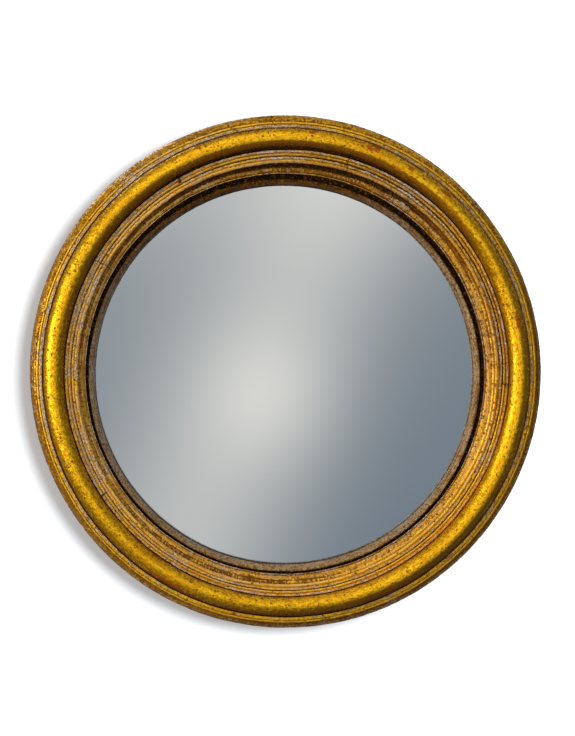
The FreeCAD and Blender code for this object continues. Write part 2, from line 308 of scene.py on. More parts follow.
def makeCrack():
    # a wandering line across the ring
    group, give, take = newGroup("crack", [
        ("Point", "Vector", None), ("Wander", "Float", 0.5), ("Across", "Vector", None), ("Along", "Vector", None),
        ("Inner", "Float", 0.0), ("Outer", "Float", 0.0), ("Width", "Float", 0.5)], [("Mask", "Float")])
    aside = put(group, "VectorMath", {0: give["Point"], 1: give["Across"]}, operation="DOT_PRODUCT").outputs["Value"]
    reach = put(group, "VectorMath", {0: give["Point"], 1: give["Along"]}, operation="DOT_PRODUCT").outputs["Value"]
    aside = maths(group, "ADD", aside, maths(group, "MULTIPLY_ADD", give["Wander"], 8.0, -4.0))
    thin = ramp(group, maths(group, "DIVIDE", maths(group, "ABSOLUTE", aside), give["Width"]), 0.4, 1.0, 1.0, 0.0)
    inside = maths(group, "MULTIPLY", maths(group, "GREATER_THAN", reach, give["Inner"]),
                   maths(group, "LESS_THAN", reach, give["Outer"]))
    group.links.new(maths(group, "MULTIPLY", thin, inside), take["Mask"])
    return group


crack = makeCrack()


def crackedAt(tree, point):
    wander = grain(tree, point, 60.0, 3.0, 2.0, 21.0)
    mask = 0.0
    for angle, inner, outer, width in cracks:
        turn = math.radians(angle)
        one = useGroup(tree, crack, {
            "Point": point, "Wander": wander, "Across": (-math.sin(turn), 0, math.cos(turn)),
            "Along": (math.cos(turn), 0, math.sin(turn)), "Inner": inner, "Outer": outer, "Width": width})["Mask"]
        mask = maths(tree, "MAXIMUM", mask, one)
    return mask


def makeGilding(name, look):
    material, tree = newMaterial(name)
    point = pointInMm(tree)
    wash, gesso, warm, bare, dullAndPaintedShade, bolePatch = [
        readMark(tree, mark) for mark in ("wash", "gesso", "warm", "bare", "dullAndPaintedShade", "bole")]

    # the leaf: fine grain, paler patches, and the lines that the turning left round the ring
    fine = grain(tree, point, 1.9, 1.1, 4.0, 1.0)
    patch = grain(tree, point, 40.0, 9.0, 3.0, 2.0)
    lines = grain(tree, point, 24.0, 0.6, 3.0, 11.0)
    tone = maths(tree, "MULTIPLY_ADD", fine, 0.55, maths(tree, "MULTIPLY_ADD", patch, 0.30,
                                                         maths(tree, "MULTIPLY", lines, 0.15)))
    leaf = blendColour(tree, ramp(tree, tone, 0.43, 0.55), look["leafDeep"], look["leafBright"])
    warmShare = maths(tree, "MULTIPLY", warm, ramp(tree, grain(tree, point, 26.0, 2.2, 3.0, 3.0), 0.36, 0.6))
    leaf = blendColour(tree, warmShare, leaf, look["leafOrange"])

    # small brown marks, thick where the leaf is dull and where shade is painted
    mottle = grain(tree, point, 2.6, 1.6, 5.0, 12.0)
    mottled = maths(tree, "ADD", mottle, maths(tree, "MULTIPLY_ADD", patch, 0.35, -0.175))
    mottled = maths(tree, "MULTIPLY_ADD", dullAndPaintedShade, 0.22, mottled)
    mottleShare = maths(tree, "MULTIPLY", ramp(tree, mottled, 0.52, 0.60),
                        maths(tree, "MULTIPLY_ADD", dullAndPaintedShade, 0.35, 0.50))
    colour = blendColour(tree, mottleShare, leaf, look["leafBrown"])

    # a pinkish bloom lies in streaks on the inner members
    bloom = ramp(tree, maths(tree, "MULTIPLY_ADD", lines, 0.7, maths(tree, "MULTIPLY", mottle, 0.3)), 0.47, 0.60)
    blushShare = maths(tree, "MULTIPLY", bloom, maths(tree, "MULTIPLY", warm, 0.85))
    colour = blendColour(tree, blushShare, colour, look["blush"])

    # red bole where the leaf is rubbed through
    boleMarks = grain(tree, point, 4.0, 2.0, 5.0, 4.0)
    boleField = grain(tree, point, 34.0, 26.0, 2.0, 5.0)
    boleSum = maths(tree, "MULTIPLY_ADD", bolePatch, 0.40, maths(tree, "MULTIPLY_ADD", boleField, 0.35, boleMarks))
    boleShare = ramp(tree, boleSum, 0.90, 0.95)
    colour = blendColour(tree, maths(tree, "MULTIPLY", boleShare, 0.85), colour, look["bole"])

    # brown wash lies in the hollows, and its edge is dragged across the moulding
    strokes = grain(tree, point, 1.2, 6.0, 4.0, 6.0)
    cloud = grain(tree, point, 14.0, 5.0, 4.0, 7.0)
    washEdge = maths(tree, "ADD", maths(tree, "MULTIPLY_ADD", strokes, look["strokes"], -0.5 * look["strokes"]),
                     maths(tree, "MULTIPLY_ADD", cloud, 1.0, -0.5))
    washEdge = maths(tree, "MULTIPLY_ADD", mottle, 0.9, maths(tree, "ADD", washEdge, -0.45))
    # the dull mark adds to the wash, so painted shade darkens it as well
    washSum = maths(tree, "MULTIPLY_ADD", dullAndPaintedShade, 0.20, maths(tree, "ADD", wash, washEdge))
    washShare = ramp(tree, washSum, 0.36, 0.64)
    washTone = maths(tree, "MULTIPLY_ADD", strokes, 0.5, maths(tree, "MULTIPLY", mottle, 0.5))
    washColour = blendColour(tree, ramp(tree, washTone, 0.47, 0.58), look["wash"], look["washLight"])
    colour = blendColour(tree, washShare, colour, washColour)
    deepSum = maths(tree, "MULTIPLY_ADD", washEdge, 0.4, maths(tree, "MULTIPLY_ADD", dullAndPaintedShade, 0.1, wash))
    deepShare = ramp(tree, deepSum, 0.78, 0.96)
    colour = blendColour(tree, deepShare, colour, look["washDeep"])

    # dark flecks, large and small, thicker where it is dull, where it is washed and where shade is painted
    fleckAmount = maths(tree, "MULTIPLY_ADD", wash, 0.35, look["fleckAmount"])
    fleckAmount = maths(tree, "MULTIPLY_ADD", dullAndPaintedShade, 0.35, fleckAmount)
    large = useGroup(tree, specks, {"Point": point, "Spacing": 2.3, "Size": 0.55, "Amount": fleckAmount,
                                    "Seed": 1.0})["Mask"]
    small = useGroup(tree, specks, {"Point": point, "Spacing": 1.3, "Size": 0.62, "Amount": fleckAmount,
                                    "Seed": 7.0})["Mask"]
    flecks = maths(tree, "MAXIMUM", large, small)
    colour = blendColour(tree, maths(tree, "MULTIPLY", flecks, 0.85), colour, look["speck"])

    # gesso shows along the rubbed arrises, broken into lengths
    broken = grain(tree, point, 2.4, 0.8, 5.0, 8.0)
    gap = grain(tree, point, 26.0, 30.0, 2.0, 9.0)
    rub = maths(tree, "ADD", gesso, maths(tree, "MULTIPLY_ADD", broken, 3.4, -1.7))
    rub = maths(tree, "ADD", rub, maths(tree, "MULTIPLY_ADD", gap, 1.5, -0.75))
    gessoShare = maths(tree, "MULTIPLY", ramp(tree, rub, 0.50, 0.72), ramp(tree, gesso, 0.02, 0.12))
    chalk = blendColour(tree, ramp(tree, fine, 0.40, 0.60), look["gessoDirty"], look["gesso"])
    colour = blendColour(tree, gessoShare, colour, chalk)
    cracked = crackedAt(tree, point)
    colour = blendColour(tree, maths(tree, "MULTIPLY", cracked, 0.8), colour, look["washDeep"])

    # bare wood behind, with the ochre size that ran over the edge
    xyz = put(tree, "SeparateXYZ", {0: point}).outputs
    plank = put(tree, "CombineXYZ", {"X": maths(tree, "MULTIPLY", xyz["X"], 0.02),
                                     "Y": maths(tree, "MULTIPLY", xyz["Y"], 0.5),
                                     "Z": maths(tree, "MULTIPLY", xyz["Z"], 0.5)}).outputs[0]
    fibre = put(tree, "TexNoise", {"Vector": plank, "Scale": 1.2, "Detail": 6.0, "Distortion": 0.4}).outputs[0]
    wood = blendColour(tree, ramp(tree, fibre, 0.38, 0.62), look["woodDark"], look["wood"])
    ochreShare = ramp(tree, grain(tree, point, 14.0, 10.0, 4.0, 10.0), 0.5, 0.62)
    wood = blendColour(tree, maths(tree, "MULTIPLY", ochreShare, 0.55), wood, look["ochre"])
    colour = blendColour(tree, bare, colour, wood)

    covered = maths(tree, "MAXIMUM", maths(tree, "MULTIPLY", washShare, 0.75), gessoShare)
    covered = maths(tree, "MAXIMUM", covered, maths(tree, "MULTIPLY", flecks, 0.7))
    covered = maths(tree, "MAXIMUM", covered, maths(tree, "MULTIPLY", blushShare, 0.8))
    covered = maths(tree, "MAXIMUM", covered, maths(tree, "MULTIPLY", boleShare, 0.7))
    covered = maths(tree, "MAXIMUM", covered, maths(tree, "MAXIMUM", bare, cracked))
    metal = maths(tree, "MULTIPLY_ADD", covered, -look["metal"], look["metal"])
    sheen = maths(tree, "MULTIPLY_ADD", fine, 0.30, look["roughness"] - 0.15)
    rough = blendValue(tree, covered, sheen, 0.72)

    relief = maths(tree, "MULTIPLY_ADD", fine, 0.6, maths(tree, "MULTIPLY", strokes, 0.5))
    relief = maths(tree, "SUBTRACT", relief, maths(tree, "MULTIPLY", flecks, 0.5))
    relief = maths(tree, "SUBTRACT", relief, maths(tree, "MULTIPLY", gessoShare, 0.35))
    relief = maths(tree, "SUBTRACT", relief, cracked)
    relief = maths(tree, "ADD", relief, maths(tree, "MULTIPLY", maths(tree, "MULTIPLY", fibre, bare), 0.8))
    bump = put(tree, "Bump", {"Height": relief, "Strength": 0.9, "Distance": 0.48 * mm}).outputs[0]

    finishMaterial(tree, {"Base Color": colour, "Metallic": metal, "Roughness": rough, "Normal": bump,
                          "Coat Weight": maths(tree, "MULTIPLY_ADD", covered, -look["lacquer"], look["lacquer"]),
                          "Coat Roughness": 0.24, "Specular IOR Level": 0.06})
    return material


giltFrame = makeGilding("giltFrame", gilding)
print("gilding ready")


# the frame moulding

moulding = {
    "sightRadius": 155.9, "rebateDepth": 17.04, "lipThickness": 3.2, "rebateRadius": 160.9,
    "sideTaper": 1.6, "backChamfer": 1.4, "steps": 700, "cornerWidth": 0.13, "leastCorner": 24,
}

# what the pen draws, from the sight edge out: name, kind, width, rise, swell, cuts
# then the finish: wash at its inner side, in its middle and at its outer side, gesso, warm
# a quirk is a fine cut between members: its width, its depth and its wash
members = [
    ("lip", "line", 0.7, 0, 0, 1, 0.30, 0.10, 0.30, 0.84, 0.5),
    ("quirk", 0.3, 0.6, 0.75),
    ("band", "arc", 4.0, 1.8, 0.35, 5, 0.50, 0.14, 0.50, 0.20, 0.6),
    ("cove", "arc", 2.5, 2.4, -0.55, 5, 0.38, 0.34, 0.42, 0.00, 0.5),
    ("ovolo", "arc", 3.3, 1.0, 1.0, 7, 0.52, -0.10, 0.12, 0.15, 0.7),
    ("quirk", 0.3, 0.35, 0.30),
    ("innerFillet", "fillet", 1.8, 0.5, 0, 3, 0.12, 0.05, 0.68, 0.60, 0.4),
    ("quirk", 0.45, 1.5, 1.0),
    ("bead", "arc", 2.25, 0.6, 1.1, 6, 0.80, -0.38, 0.02, 0.20, 0.3),
    ("quirk", 0.3, 0.35, 0.30),
    ("crestFillet", "fillet", 1.6, 0.6, 0, 3, 0.12, 0.05, 0.60, 0.70, 0.4),
    ("innerGroove", "groove", 0.8, -2.2, 2.8, 1, 0.85, 1.0, 0.80, 0.00, 0.0),
    ("torus", "arc", 16.6, 0, 8.3, 28, 0.62, -0.18, 0.84, 0.00, 0.0),
    ("outerGroove", "groove", 0.7, -5.6, 2.6, 1, 0.90, 1.0, 0.30, 0.00, 0.0),
    ("outerFillet", "line", 1.6, 0, 0, 3, 0.10, -0.15, 0.05, 0.72, 0.3),
    ("quirk", 0.3, 0.3, 0.20),
    ("outerBead", "arc", 2.1, -0.5, 0.75, 6, 0.02, -0.25, 0.62, 0.12, 0.2),
    ("rim", "arc", 4.5, -8.0, 1.2, 8, 0.62, 0.26, 0.60, 0.14, 0.2),
]

drift = [
    # the members don't share one centre: radius, then right, down and out
    (155.9, -0.9, 1.75, 0.0), (157.5, -0.5, 1.75, 0.0), (161.5, 0.8, 1.75, 0.0), (169.0, 0.8, 1.7, 0.0),
    (173.4, 0.6, 1.6, 0.45), (175.5, 0.5, 1.5, 0.45), (189.5, -0.2, 0.5, -0.6), (191.5, -0.2, 0.8, -0.7),
    (193.3, -0.2, 0.9, 0.0), (196.0, 0.0, 0.7, 0.0), (198.8, 0.0, 0.0, 0.0),
]

shifts = [
    # where the members sit nearer the glass or farther: angle and spread in degrees, radius, reach and shift in mm
    (-25, 48, 172.5, 6.0, -2.1), (-42, 26, 163.5, 5.0, -1.6), (3, 18, 163.5, 4.0, -1.4),
    (42, 16, 173.5, 4.0, 0.9), (245, 30, 165.0, 7.0, 0.8),
]

wearAndShadePlaces = {
    # where a finish is stronger or weaker: angle from the right and spread in degrees, from and to radius, change;
    # partly real wear, partly painted shade and painted light
    # dull at the torus's inner flank at the top, at its outer flank at the right and bottom, and at the bottom of the
    # rim is painted shade
    "dullAndPaintedShade": [
        (-45, 65, 154, 161, 0.9), (60, 45, 154, 172, 0.5), (5, 20, 154, 166, 0.5), (100, 50, 195.5, 201, 0.35),
        (180, 40, 195.5, 201, 0.5), (-80, 60, 195.5, 201, 1.0), (8, 30, 195.5, 201, 0.8), (8, 30, 184, 191, 0.3),
        (-55, 45, 185, 191, 0.8), (-110, 40, 187, 191, 0.4), (80, 60, 174, 180.5, 1.0), (150, 40, 174, 178.5, 0.5),
        (185, 180, 174, 191, 0.15), (-22, 58, 156.5, 164.5, -0.2), (5, 22, 165, 174, 0.6),
    ],
    # more wash at the torus's inner flank at the top is painted shade; less wash on the flanks that face the lamps,
    # inner at the right and outer at the left, is painted light
    "wash": [
        (-90, 45, 156, 161, 0.12), (95, 62, 160.5, 164, 0.55), (-102, 42, 160.5, 164, 0.30),
        (85, 55, 174, 178.5, 0.50), (-22, 58, 156.5, 164.5, -0.28), (78, 46, 156.5, 160.8, 0.26),
        (5, 22, 165, 173.4, 0.16), (180, 60, 168.8, 172, -0.25), (-20, 55, 173.4, 179, -0.70),
        (62, 30, 160, 170, 0.16), (180, 60, 186, 190.5, -0.22),
    ],
    "warm": [(180, 68, 156, 172, 0.8)],
    # more pale gesso on the left fillets, which face the key lamp, is partly painted light; less on the top lip is
    # partly painted shade
    "gesso": [
        (-30, 70, 160, 174, -0.10), (-90, 50, 190, 194, -0.35), (90, 55, 154.5, 157, -0.35),
        (178, 55, 163.4, 166.8, 0.42), (178, 55, 169, 171.6, 0.40), (140, 25, 166.8, 169, -0.35),
    ],
}

bolePlaces = [
    # where red bole shows: angle from the right in degrees, radius, reach round and across the ring in mm
    (48, 187.3, 7, 3.0), (59, 185.5, 5, 2.4), (69, 186.7, 9, 3.6), (84, 187.4, 6, 3.0), (96, 162.6, 14, 2.2),
    (171, 163.0, 10, 2.0), (-62, 188.5, 18, 2.6), (-120, 188.8, 20, 2.0), (34, 162.5, 24, 1.8),
    (120, 172.0, 4, 2.0), (12, 184.0, 10, 3.0),
]


def fromAngle(way, angle):
    # how far round the ring a place is from an angle, in degrees
    turn = math.degrees(math.atan2(way.z, way.x)) - angle
    return (turn + 180) % 360 - 180


def near(way, angle, spread):
    # 1 at an angle, and less the farther a place is from it
    return math.exp(-(fromAngle(way, angle) / spread) ** 2)


# adds up the changes round the ring, partly wear and partly painted shade and light
def wearAndShadeAt(way, radius, finish):
    total, soft = 0, 0.6
    for angle, spread, inner, outer, amount in wearAndShadePlaces[finish]:
        across = smoothStep(inner - soft, inner + soft, radius) * (1 - smoothStep(outer - soft, outer + soft, radius))
        total += amount * near(way, angle, spread) * across
    return total


def shiftAt(way, radius):
    total = 0
    for angle, spread, middle, reach, amount in shifts:
        total += amount * near(way, angle, spread) * math.exp(-((radius - middle) / reach) ** 2)
    return total


def boleAt(way, radius):
    total = 0
    for angle, middle, along, across in bolePlaces:
        round_ = math.radians(fromAngle(way, angle)) * middle / along
        total += math.exp(-round_ ** 2 - ((radius - middle) / across) ** 2)
    return min(total, 1)


def drawMoulding(bm):
    m = moulding
    radius, height = m["sightRadius"], m["rebateDepth"]
    first = startSection(bm, radius, height)
    spans = [(radius - 1, radius + 0.001, (0.6, 0.6, 0.6), 0.2, 0.5)]
    height += m["lipThickness"]
    vert = lineTo(bm, first, radius, height, 3)
    for member in members:
        startRadius = radius
        if member[0] == "quirk":
            width, depth, wash = member[1:]
            radius += width
            vert = lineTo(bm, vert, startRadius + width / 2, height - depth)
            vert = lineTo(bm, vert, radius, height)
            spans.append((startRadius, radius, (wash * 0.7, wash, wash * 0.7), 0.0, 0.0))
            continue
        kind, width, rise, swell, cuts, inner, middle, outer, gesso, warm = member[1:]
        if kind == "arc":
            vert = arcTo(bm, vert, radius + width, height + rise, swell, cuts)
        elif kind == "line":
            vert = lineTo(bm, vert, radius + width, height, cuts)
        elif kind == "fillet":
            vert = lineTo(bm, vert, radius, height + rise)
            vert = lineTo(bm, vert, radius + width, height + rise, cuts)
        elif kind == "groove":
            vert = lineTo(bm, vert, radius + width / 2, height + rise, 2)
            vert = lineTo(bm, vert, radius + width, height + rise + swell, 2)
            rise = rise + swell
        radius += width
        height += rise
        spans.append((startRadius, radius, (inner, middle, outer), gesso, warm))
    vert = lineTo(bm, vert, radius - m["sideTaper"], m["backChamfer"], 4)
    vert = lineTo(bm, vert, radius - m["sideTaper"] - m["backChamfer"], 0)
    vert = lineTo(bm, vert, m["rebateRadius"], 0, 3)
    vert = lineTo(bm, vert, m["rebateRadius"], m["rebateDepth"], 2)
    vert = lineTo(bm, vert, m["sightRadius"], m["rebateDepth"])
    closeSection(bm, vert, first)
    return spans


def finishAt(spans, radius):
    # wash, gesso and warm of a point of the section, from the member that it is on
    for start, end, washes, gesso, warm in spans:
        if start <= radius <= end:
            t = (radius - start) / (end - start)
            away = abs(2 * t - 1) ** 2
            side = washes[0] if t < 0.5 else washes[2]
            return washes[1] + (side - washes[1]) * away, gesso * (1 - 0.45 * away), warm
    return 0.5, 0.0, 0.3


hand = {
    "tuckedIn": 0.30, "sunk": 0.30, "chipDepth": 0.34, "chipSide": 0.20, "chipWaves": 70,
    "sideFrom": 192, "sideLow": 1.4, "sideHigh": 7.0, "bareBelow": 2.0, "giltAbove": 9.0,
}

ripples = [
    # how far noise moves a point outward and forward in mm: its waves round the ring and across it, and its seed
    (0.0, 0.14, 3, 0.05, 12), (0.34, 0.0, 1.4, 0.012, 0), (0.18, 0.10, 9, 0.13, 4), (0.12, 0.0, 42, 0.4, 8),
    (0.06, 0.06, 95, 0.5, 2),
]


def roughen(bm, spans, lowest, driftAt):
    # the hand of the maker: the ring isn't quite round, the members wander, and the fillets are chipped
    layers = {name: bm.verts.layers.float.new(name) for name in ("wash", "gesso", "warm", "bare", "dullAndPaintedShade", "bole")}
    for v in bm.verts:
        radius = math.hypot(v.co.x, v.co.z) / mm
        height = (backPlane - v.co.y) / mm
        way = Vector((v.co.x, 0, v.co.z)).normalized()
        atSide = radius > hand["sideFrom"]
        low, high = (hand["sideLow"], hand["sideHigh"]) if atSide else (lowest, lowest + 2)
        front = smoothStep(low, high, height)
        wash, gesso, warm = finishAt(spans, radius)
        if gesso > 0:
            gesso = max(gesso + wearAndShadeAt(way, radius, "gesso"), 0)
        # wash and the dull mark also carry painted shade and painted light, placed by angle round the ring
        v[layers["wash"]] = wash + wearAndShadeAt(way, radius, "wash")
        v[layers["gesso"]] = gesso * front
        v[layers["warm"]] = min(warm + wearAndShadeAt(way, radius, "warm"), 1)
        v[layers["bare"]] = 1 - smoothStep(hand["bareBelow"], hand["giltAbove"], height) if atSide else 1 - front
        v[layers["dullAndPaintedShade"]] = wearAndShadeAt(way, radius, "dullAndPaintedShade")
        v[layers["bole"]] = boleAt(way, radius)
        outward = forward = 0
        for side, ahead, waves, across, seed in ripples:
            push = noise.noise(way * waves + Vector((0, radius * across, seed)))
            outward += side * push
            forward += ahead * push
        chip = gesso * smoothStep(0.10, 0.42, noise.noise(way * hand["chipWaves"] + Vector((0, radius * 0.9, 16))))
        forward -= chip * hand["chipDepth"] + hand["sunk"]
        outward += chip * hand["chipSide"] * noise.noise(way * 130)
        outward += shiftAt(way, radius) - hand["tuckedIn"] * smoothStep(150, 200, radius)
        right, down, out = driftAt(radius, height, front)
        radius = min(radius + out + outward * front, outerRadius / mm)
        height += forward * front
        v.co = Vector((way.x * radius + right, backPlane / mm - height, way.z * radius - down)) * mm


def frameDrift(radius, height, front):
    # the rebate stays where the slip and the board need it
    lip = 1 - smoothStep(156, 160.9, radius) if height > moulding["rebateDepth"] - 0.2 else 0
    share = max(front, lip)
    before, after = drift[0], drift[0]
    for row in drift:
        before, after = after, row
        if radius <= row[0]:
            break
    t = min(max((radius - before[0]) / max(after[0] - before[0], 0.01), 0), 1)
    return [(a + (b - a) * t) * share for a, b in zip(before[1:], after[1:])]


def makeFrame():
    bm = bmesh.new()
    spans = drawMoulding(bm)
    spinSection(bm, moulding["steps"])
    softenCorners(bm, moulding["cornerWidth"], moulding["leastCorner"])
    roughen(bm, spans, moulding["rebateDepth"], frameDrift)
    piece = newPiece("giltMoulding", bm)
    dress(piece, giltFrame)
    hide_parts("frame_moulding")
    return piece


giltMoulding = makeFrame()


# the glass

glass = {
    "radius": 152.5, "curve": 539.57, "thickness": 3.0, "centre": -509.97, "groundEdge": 0.3,
    "steps": 288, "rings": 72, "backRings": 12, "tiredFrom": 149.6, "tiredTo": 151.4,
    "silver": (0.955, 0.965, 0.97, 1), "silverCloud": (0.90, 0.91, 0.90, 1), "silverEdge": (0.32, 0.31, 0.33, 1),
    "backing": (0.10, 0.105, 0.11, 1), "haze": 0.035,
}


def glassHeight(radius, behind=0.0):
    # height of the glass's front, or of a sphere so many mm behind it
    return glass["centre"] + math.sqrt((glass["curve"] - behind) ** 2 - radius ** 2)


def sphereTo(bm, vert, start, end, behind, cuts):
    for n in range(cuts):
        radius = start + (end - start) * (n + 1) / cuts
        vert = lineTo(bm, vert, radius, glassHeight(radius, behind))
    return vert


def makeSilvering():
    g = glass
    material, tree = newMaterial("silveredGlass")
    point = pointInMm(tree)
    facing = put(tree, "SeparateXYZ", {0: put(tree, "TexCoord").outputs["Normal"]}).outputs["Y"]
    behind = ramp(tree, facing, -0.3, 0.3)
    cloud = useGroup(tree, smudges, {"Point": point, "Size": 60.0, "Seed": 3.0})["Value"]
    xyz = put(tree, "SeparateXYZ", {0: point}).outputs
    flat = put(tree, "CombineXYZ", {"X": xyz["X"], "Z": xyz["Z"]}).outputs[0]
    radius = put(tree, "VectorMath", {0: flat}, operation="LENGTH").outputs["Value"]
    edge = ramp(tree, maths(tree, "MULTIPLY_ADD", cloud, 3.0, radius), g["tiredFrom"], g["tiredTo"])
    silver = blendColour(tree, maths(tree, "MULTIPLY", cloud, 0.03), g["silver"], g["silverCloud"])
    silver = blendColour(tree, maths(tree, "MULTIPLY", edge, 0.6), silver, g["silverEdge"])
    colour = blendColour(tree, behind, silver, g["backing"])
    rough = blendValue(tree, behind, maths(tree, "MULTIPLY_ADD", cloud, 0.02, g["haze"] - 0.01), 0.7)
    finishMaterial(tree, {"Base Color": colour, "Metallic": maths(tree, "SUBTRACT", 1.0, behind),
                          "Roughness": rough, "Coat Weight": maths(tree, "SUBTRACT", 1.0, behind),
                          "Coat Roughness": 0.02, "Coat IOR": 1.5})
    return material


def makeGlass():
    g = glass
    bm = bmesh.new()
    vert = startSection(bm, 0, glassHeight(0))
    vert = sphereTo(bm, vert, 0, g["radius"], 0, g["rings"])
    vert = lineTo(bm, vert, g["radius"], glassHeight(g["radius"], g["thickness"]))
    sphereTo(bm, vert, g["radius"], 0, g["thickness"], g["backRings"])
    spinSection(bm, g["steps"])
    softenCorners(bm, g["groundEdge"], 40)
    piece = newPiece("convexGlass", bm)
    dress(piece, makeSilvering())
    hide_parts("mirror_glass")
    return piece


convexGlass = makeGlass()


# the slip

slip = {
    "sightRadius": 148.2, "sightHeight": 11.09, "faceWidth": 4.8, "faceRise": 4.75, "faceSwell": 0.55,
    "grooveDepth": 2.2, "grooveOuter": 156.7, "outerRadius": 160.6, "back": 3.0, "pocketRadius": 154.0,
    "lipThickness": 1.2, "footLift": 0.25, "pocketHeight": 7.86, "steps": 720, "cornerWidth": 0.16,
    # the angles where shade and light are painted on the slip: shade at the top, light at the left
    "driftDown": 2.4, "faceDrift": 0.65, "driftLeft": 0.9, "paintedShadeAngle": 105, "paintedLightAngle": 180,
    "spread": 50, "bareBelow": 7.89,
}

slipLook = {
    **gilding,
    "leafBright": (0.52, 0.36, 0.18, 1),
    "leafDeep": (0.17, 0.085, 0.025, 1),
    "leafOrange": (0.34, 0.21, 0.10, 1),
    "leafBrown": (0.045, 0.019, 0.005, 1),
    "blush": (0.33, 0.22, 0.13, 1),
    "wash": (0.034, 0.014, 0.004, 1),
    "washDeep": (0.010, 0.005, 0.002, 1),
    "gesso": (0.44, 0.37, 0.32, 1),
    "gessoDirty": (0.20, 0.14, 0.09, 1),
    "fleckAmount": 0.40, "roughness": 0.55, "metal": 0.35, "strokes": 1.4, "lacquer": 0.0,
}


def drawSlip(bm):
    s = slip
    faceOuter = s["sightRadius"] + s["faceWidth"]
    faceTop = s["sightHeight"] + s["faceRise"]
    floor = faceTop - s["grooveDepth"]
    top = moulding["rebateDepth"]
    first = startSection(bm, s["sightRadius"], s["sightHeight"])
    vert = arcTo(bm, first, faceOuter, faceTop, s["faceSwell"], 14)
    vert = lineTo(bm, vert, faceOuter, floor, 2)
    vert = lineTo(bm, vert, s["grooveOuter"], floor, 2)
    vert = lineTo(bm, vert, s["grooveOuter"], top)
    vert = lineTo(bm, vert, s["outerRadius"], top)
    vert = lineTo(bm, vert, s["outerRadius"], s["back"], 2)
    vert = lineTo(bm, vert, s["pocketRadius"], s["back"])
    vert = lineTo(bm, vert, s["pocketRadius"], s["pocketHeight"])
    vert = lineTo(bm, vert, s["sightRadius"], s["sightHeight"] - s["lipThickness"], 4)
    vert = lineTo(bm, vert, s["sightRadius"], s["sightHeight"])
    closeSection(bm, vert, first)
    # pale gesso on the sight edge is a painted glint along the glass's border; the groove under the frame's lip is
    # washed dark all over, painted shade in the gap with some dirt
    return [(s["sightRadius"] - 1, s["sightRadius"] + 0.7, (0.05, 0.05, 0.05), 0.50, 0.5),
            (s["sightRadius"] + 0.7, faceOuter + 0.1, (0.10, 0.34, 0.90), 0.16, 0.6),
            (faceOuter + 0.1, s["outerRadius"] + 1.4, (1.0, 1.0, 1.0), 0.0, 0.0)]


def slipDrift(radius, height, front):
    # its outer part stays in the frame's rebate, and its pocket round the glass
    pocket = 0 if height < slip["pocketHeight"] + 0.1 and radius > 150 else 1
    share = (1 - smoothStep(154.5, 159.5, radius)) * pocket
    down = slip["driftDown"] + slip["faceDrift"] * smoothStep(148.5, 153, radius)
    return -slip["driftLeft"] * share, down * share, 0


def paintSlipShadeAndLight(bm):
    # painted shade above, rubbed pale elsewhere, and painted light at the left
    gesso, dullAndPaintedShade, wash = [bm.verts.layers.float[name] for name in ("gesso", "dullAndPaintedShade", "wash")]
    for v in bm.verts:
        way = Vector((v.co.x, 0, v.co.z)).normalized()
        # dark is painted shade, strongest at the top, where it takes pale gesso off and lays the dull mark; pale is
        # painted light, strongest at the left, where it adds gesso and takes wash off
        dark = near(way, slip["paintedShadeAngle"], slip["spread"])
        pale = near(way, slip["paintedLightAngle"], slip["spread"])
        v[gesso] *= 1.4 - 1.3 * dark + 1.2 * pale
        v[dullAndPaintedShade] = 1.4 * dark
        v[wash] -= 0.35 * pale if v[wash] < 0.9 else 0
        # the foot of the sight edge follows the glass
        across, up = v.co.x / mm + slip["driftLeft"], v.co.z / mm + slip["driftDown"]
        height, edge = (backPlane - v.co.y) / mm, slip["sightHeight"] - slip["lipThickness"]
        if math.hypot(across, up) < slip["sightRadius"] + 1 and height < edge + 0.5:
            v.co.y = backPlane - (glassHeight(math.hypot(v.co.x, v.co.z) / mm) + slip["footLift"]) * mm


def makeSlip():
    bm = bmesh.new()
    spans = drawSlip(bm)
    spinSection(bm, slip["steps"])
    softenCorners(bm, slip["cornerWidth"], moulding["leastCorner"])
    roughen(bm, spans, slip["bareBelow"], slipDrift)
    paintSlipShadeAndLight(bm)
    piece = newPiece("giltSlip", bm)
    dress(piece, makeGilding("giltSlip", slipLook))
    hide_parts("sight_slip")
    return piece


giltSlip = makeSlip()


# the soft rings that hold the glass

softRings = {
    "foamInner": 144.1, "foamOuter": 152.2, "foamBack": 3.05, "foamSwell": 0.25, "foamCorner": 0.35, "foamGap": 0.15,
    "feltInner": 150.9, "feltOuter": 152.4, "feltThickness": 0.7, "feltLift": 0.12, "steps": 360,
}


def makeFoamRing():
    # sponge strip, squeezed between the board and the glass's back, so its sides bulge
    s = softRings
    bm = bmesh.new()
    under, back, corner = glass["thickness"] + s["foamGap"], s["foamBack"], s["foamCorner"]
    inner, outer = s["foamInner"] + corner, s["foamOuter"] - corner
    first = startSection(bm, inner, back)
    vert = arcTo(bm, first, inner, glassHeight(s["foamInner"], under), s["foamSwell"], 6)
    vert = sphereTo(bm, vert, inner, outer, under, 8)
    vert = lineTo(bm, vert, s["foamOuter"], glassHeight(s["foamOuter"], under) - corner)
    vert = lineTo(bm, vert, s["foamOuter"], back + corner)
    vert = lineTo(bm, vert, outer, back)
    vert = lineTo(bm, vert, inner, back, 6)
    closeSection(bm, vert, first)
    spinSection(bm, s["steps"])
    for v in bm.verts:
        v.co += v.normal * 0.05 * mm * noise.noise(v.co / (6 * mm))
    piece = newPiece("foamRing", bm)
    dress(piece, plain["foam"])
    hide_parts("cushion_ring")
    return piece


